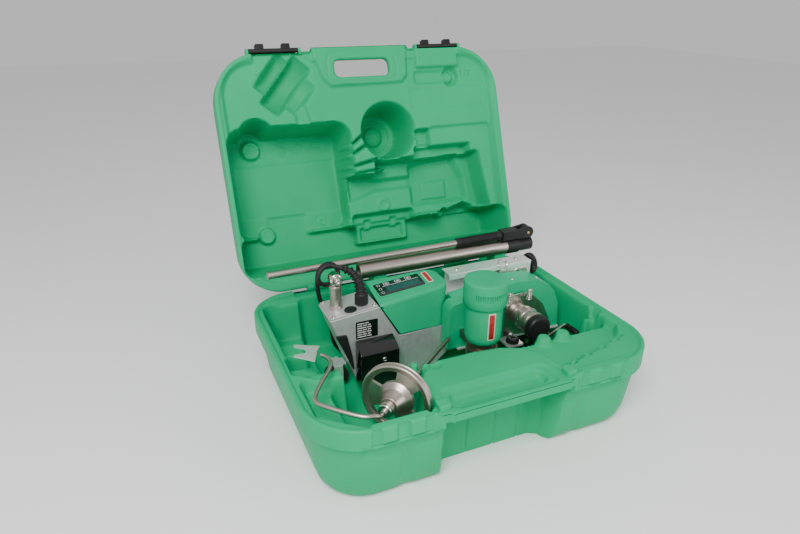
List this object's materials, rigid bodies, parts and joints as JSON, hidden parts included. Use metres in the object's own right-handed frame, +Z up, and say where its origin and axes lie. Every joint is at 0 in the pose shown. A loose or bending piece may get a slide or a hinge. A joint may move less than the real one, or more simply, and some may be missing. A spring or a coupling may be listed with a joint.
{
  "type": "hot-air membrane welding machine in carry case",
  "caption": "Hot-air membrane welding machine with blower, drive roller, folding guide bar and guide roller, stored in an open hinged blow-moulded carry case.",
  "frame": {"origin": "on the floor under the middle of the case rim, between front and back", "axes": "+X to the right of the case, +Y towards the hinge, +Z up"},
  "size_m": [0.594, 0.7174, 0.5762],
  "materials": {
    "green_plastic": "satin blow-moulded polyethylene",
    "dark_green_plastic": "fine-textured moulded plastic",
    "black_plastic": "satin black plastic",
    "gloss_black": "glossy black plastic",
    "steel": "brushed stainless steel",
    "aluminium": "bead-blasted and anodised",
    "brass": "plain",
    "rubber": "matte black rubber",
    "board": "fibreglass circuit board",
    "ceramic": "unglazed ceramic"
  },
  "bodies": {
    "case": {"case_base": "green_plastic", "hinge_pin_left": "steel", "hinge_pin_right": "steel"},
    "lid": {"case_lid": "green_plastic"},
    "latch_left": {"latch_left": "black_plastic"},
    "latch_right": {"latch_right": "black_plastic"},
    "machine": {"rear_housing": "aluminium", "top_plate": "aluminium", "control_cover": "dark_green_plastic", "display_panel": "gloss_black", "belt_guard": "gloss_black", "rear_grip_pad": "black_plastic", "blind_cap": "black_plastic", "handle_post": "steel", "base_plate": "aluminium", "front_cover": "dark_green_plastic", "drive_motor": "steel", "control_board": "board", "tool_channel": "aluminium", "spring_clip": "steel", "lift_motor": "aluminium", "lift_motor_cap": "black_plastic", "side_plate": "aluminium", "spring_left": "steel", "spring_right": "steel", "wheel_bracket": "aluminium", "blower_clamp": "aluminium", "strain_relief": "rubber", "mains_cord": "rubber", "cord_coil": "rubber", "mains_plug": "black_plastic"},
    "swivel_head": {"swivel_head": "steel"},
    "button_1": {"button_1": "black_plastic"},
    "button_2": {"button_2": "black_plastic"},
    "button_3": {"button_3": "black_plastic"},
    "drive": {"drive_roller": "rubber", "drive_gear": "brass"},
    "pinion": {"motor_pinion": "steel"},
    "crank": {"crank_lever": "steel"},
    "crank_grip": {"crank_grip": "black_plastic"},
    "clamp_knob": {"clamp_knob": "black_plastic"},
    "temperature_dial": {"temperature_dial": "black_plastic"},
    "rear_wheel": {"rear_wheel": "rubber"},
    "blower": {"blower_cap": "dark_green_plastic", "blower_housing": "dark_green_plastic", "blower_motor": "steel", "heater_tube": "steel", "heating_element": "ceramic", "nozzle": "steel"},
    "impeller": {"impeller": "aluminium"},
    "guide_bar": {"guide_tube": "steel", "joint_sleeve": "black_plastic", "fold_pin": "brass"},
    "handle": {"handle_tube": "steel", "handle_grip": "rubber", "fold_fork": "black_plastic"},
    "roller_set": {"roller_spindle": "steel", "guide_arm": "steel", "fork_plate": "steel"},
    "guide_roller": {"guide_roller": "steel"}
  },
  "joints": [
    {"name": "lid_hinge", "type": "hinge", "parent": "case", "child": "lid", "pos_m": [0, 0.224, 0.14215], "axis": [-1, 0, 0], "range_deg": [-110, 0]},
    {"name": "latch_left_hinge", "type": "hinge", "parent": "lid", "child": "latch_left", "pos_m": [-0.172, 0.38921, 0.56345], "axis": [1, 0, 0], "range_deg": [0, 180]},
    {"name": "latch_right_hinge", "type": "hinge", "parent": "lid", "child": "latch_right", "pos_m": [0.172, 0.38921, 0.56345], "axis": [1, 0, 0], "range_deg": [0, 180]},
    {"name": "machine_lift", "type": "slide", "parent": "case", "child": "machine", "axis": [0, 0, 1], "range_m": [0, 0.3]},
    {"name": "swivel_turn", "type": "hinge", "parent": "machine", "child": "swivel_head", "pos_m": [-0.17, 0.065, 0.2293], "axis": [0, 0, 1], "range_deg": [0, 90]},
    {"name": "button_1_press", "type": "slide", "parent": "machine", "child": "button_1", "axis": [0.0795, 0.1589, -0.9841], "range_m": [0, 0.001], "stiffness_N_per_m": 400, "springref_m": -0.0005},
    {"name": "button_2_press", "type": "slide", "parent": "machine", "child": "button_2", "axis": [0.0795, 0.1589, -0.9841], "range_m": [0, 0.001], "stiffness_N_per_m": 400, "springref_m": -0.0005},
    {"name": "button_3_press", "type": "slide", "parent": "machine", "child": "button_3", "axis": [0.0795, 0.1589, -0.9841], "range_m": [0, 0.001], "stiffness_N_per_m": 400, "springref_m": -0.0005},
    {"name": "drive_spin", "type": "hinge", "parent": "machine", "child": "drive", "pos_m": [0.196, 0.08, 0.0505], "axis": [0, 1, 0], "continuous": true},
    {"name": "pinion_spin", "type": "hinge", "parent": "machine", "child": "pinion", "pos_m": [0.17952, 0.08, 0.0913], "axis": [0, 1, 0], "continuous": true},
    {"name": "crank_turn", "type": "hinge", "parent": "machine", "child": "crank", "pos_m": [0.232, -0.009, 0.066], "axis": [0, -1, 0], "range_deg": [0, 60]},
    {"name": "crank_grip_spin", "type": "hinge", "parent": "crank", "child": "crank_grip", "pos_m": [0.268, -0.009, 0.081], "axis": [0, 1, 0], "continuous": true},
    {"name": "clamp_knob_spin", "type": "hinge", "parent": "machine", "child": "clamp_knob", "pos_m": [0.215, 0.066, 0.19], "axis": [1, 0, 0], "continuous": true},
    {"name": "temperature_dial_turn", "type": "hinge", "parent": "machine", "child": "temperature_dial", "pos_m": [0.136, -0.022, 0.0836], "axis": [0, 0, 1], "range_deg": [0, 300]},
    {"name": "rear_wheel_spin", "type": "hinge", "parent": "machine", "child": "rear_wheel", "pos_m": [-0.176, 0.06, 0.045], "axis": [0, 1, 0], "continuous": true},
    {"name": "blower_slide", "type": "slide", "parent": "machine", "child": "blower", "axis": [0, 0, 1], "range_m": [0, 0.025]},
    {"name": "impeller_spin", "type": "hinge", "parent": "blower", "child": "impeller", "pos_m": [0.044, -0.063, 0.2146], "axis": [0, 0, 1], "continuous": true},
    {"name": "guide_bar_lift", "type": "slide", "parent": "case", "child": "guide_bar", "axis": [0, 0, 1], "range_m": [0, 0.35]},
    {"name": "handle_fold", "type": "hinge", "parent": "guide_bar", "child": "handle", "pos_m": [0.266, 0.149, 0.2215], "axis": [0, 1, 0], "range_deg": [0, 180]},
    {"name": "roller_set_lift", "type": "slide", "parent": "case", "child": "roller_set", "axis": [0, 0, 1], "range_m": [0, 0.25]},
    {"name": "guide_roller_spin", "type": "hinge", "parent": "roller_set", "child": "guide_roller", "pos_m": [-0.16, -0.165, 0.137], "axis": [0.7403, 0.6666, -0.0872], "continuous": true}
  ],
  "couplings": [
    {"joint": "pinion_spin", "follows": "drive_spin", "ratio": -1.0952}
  ]
}
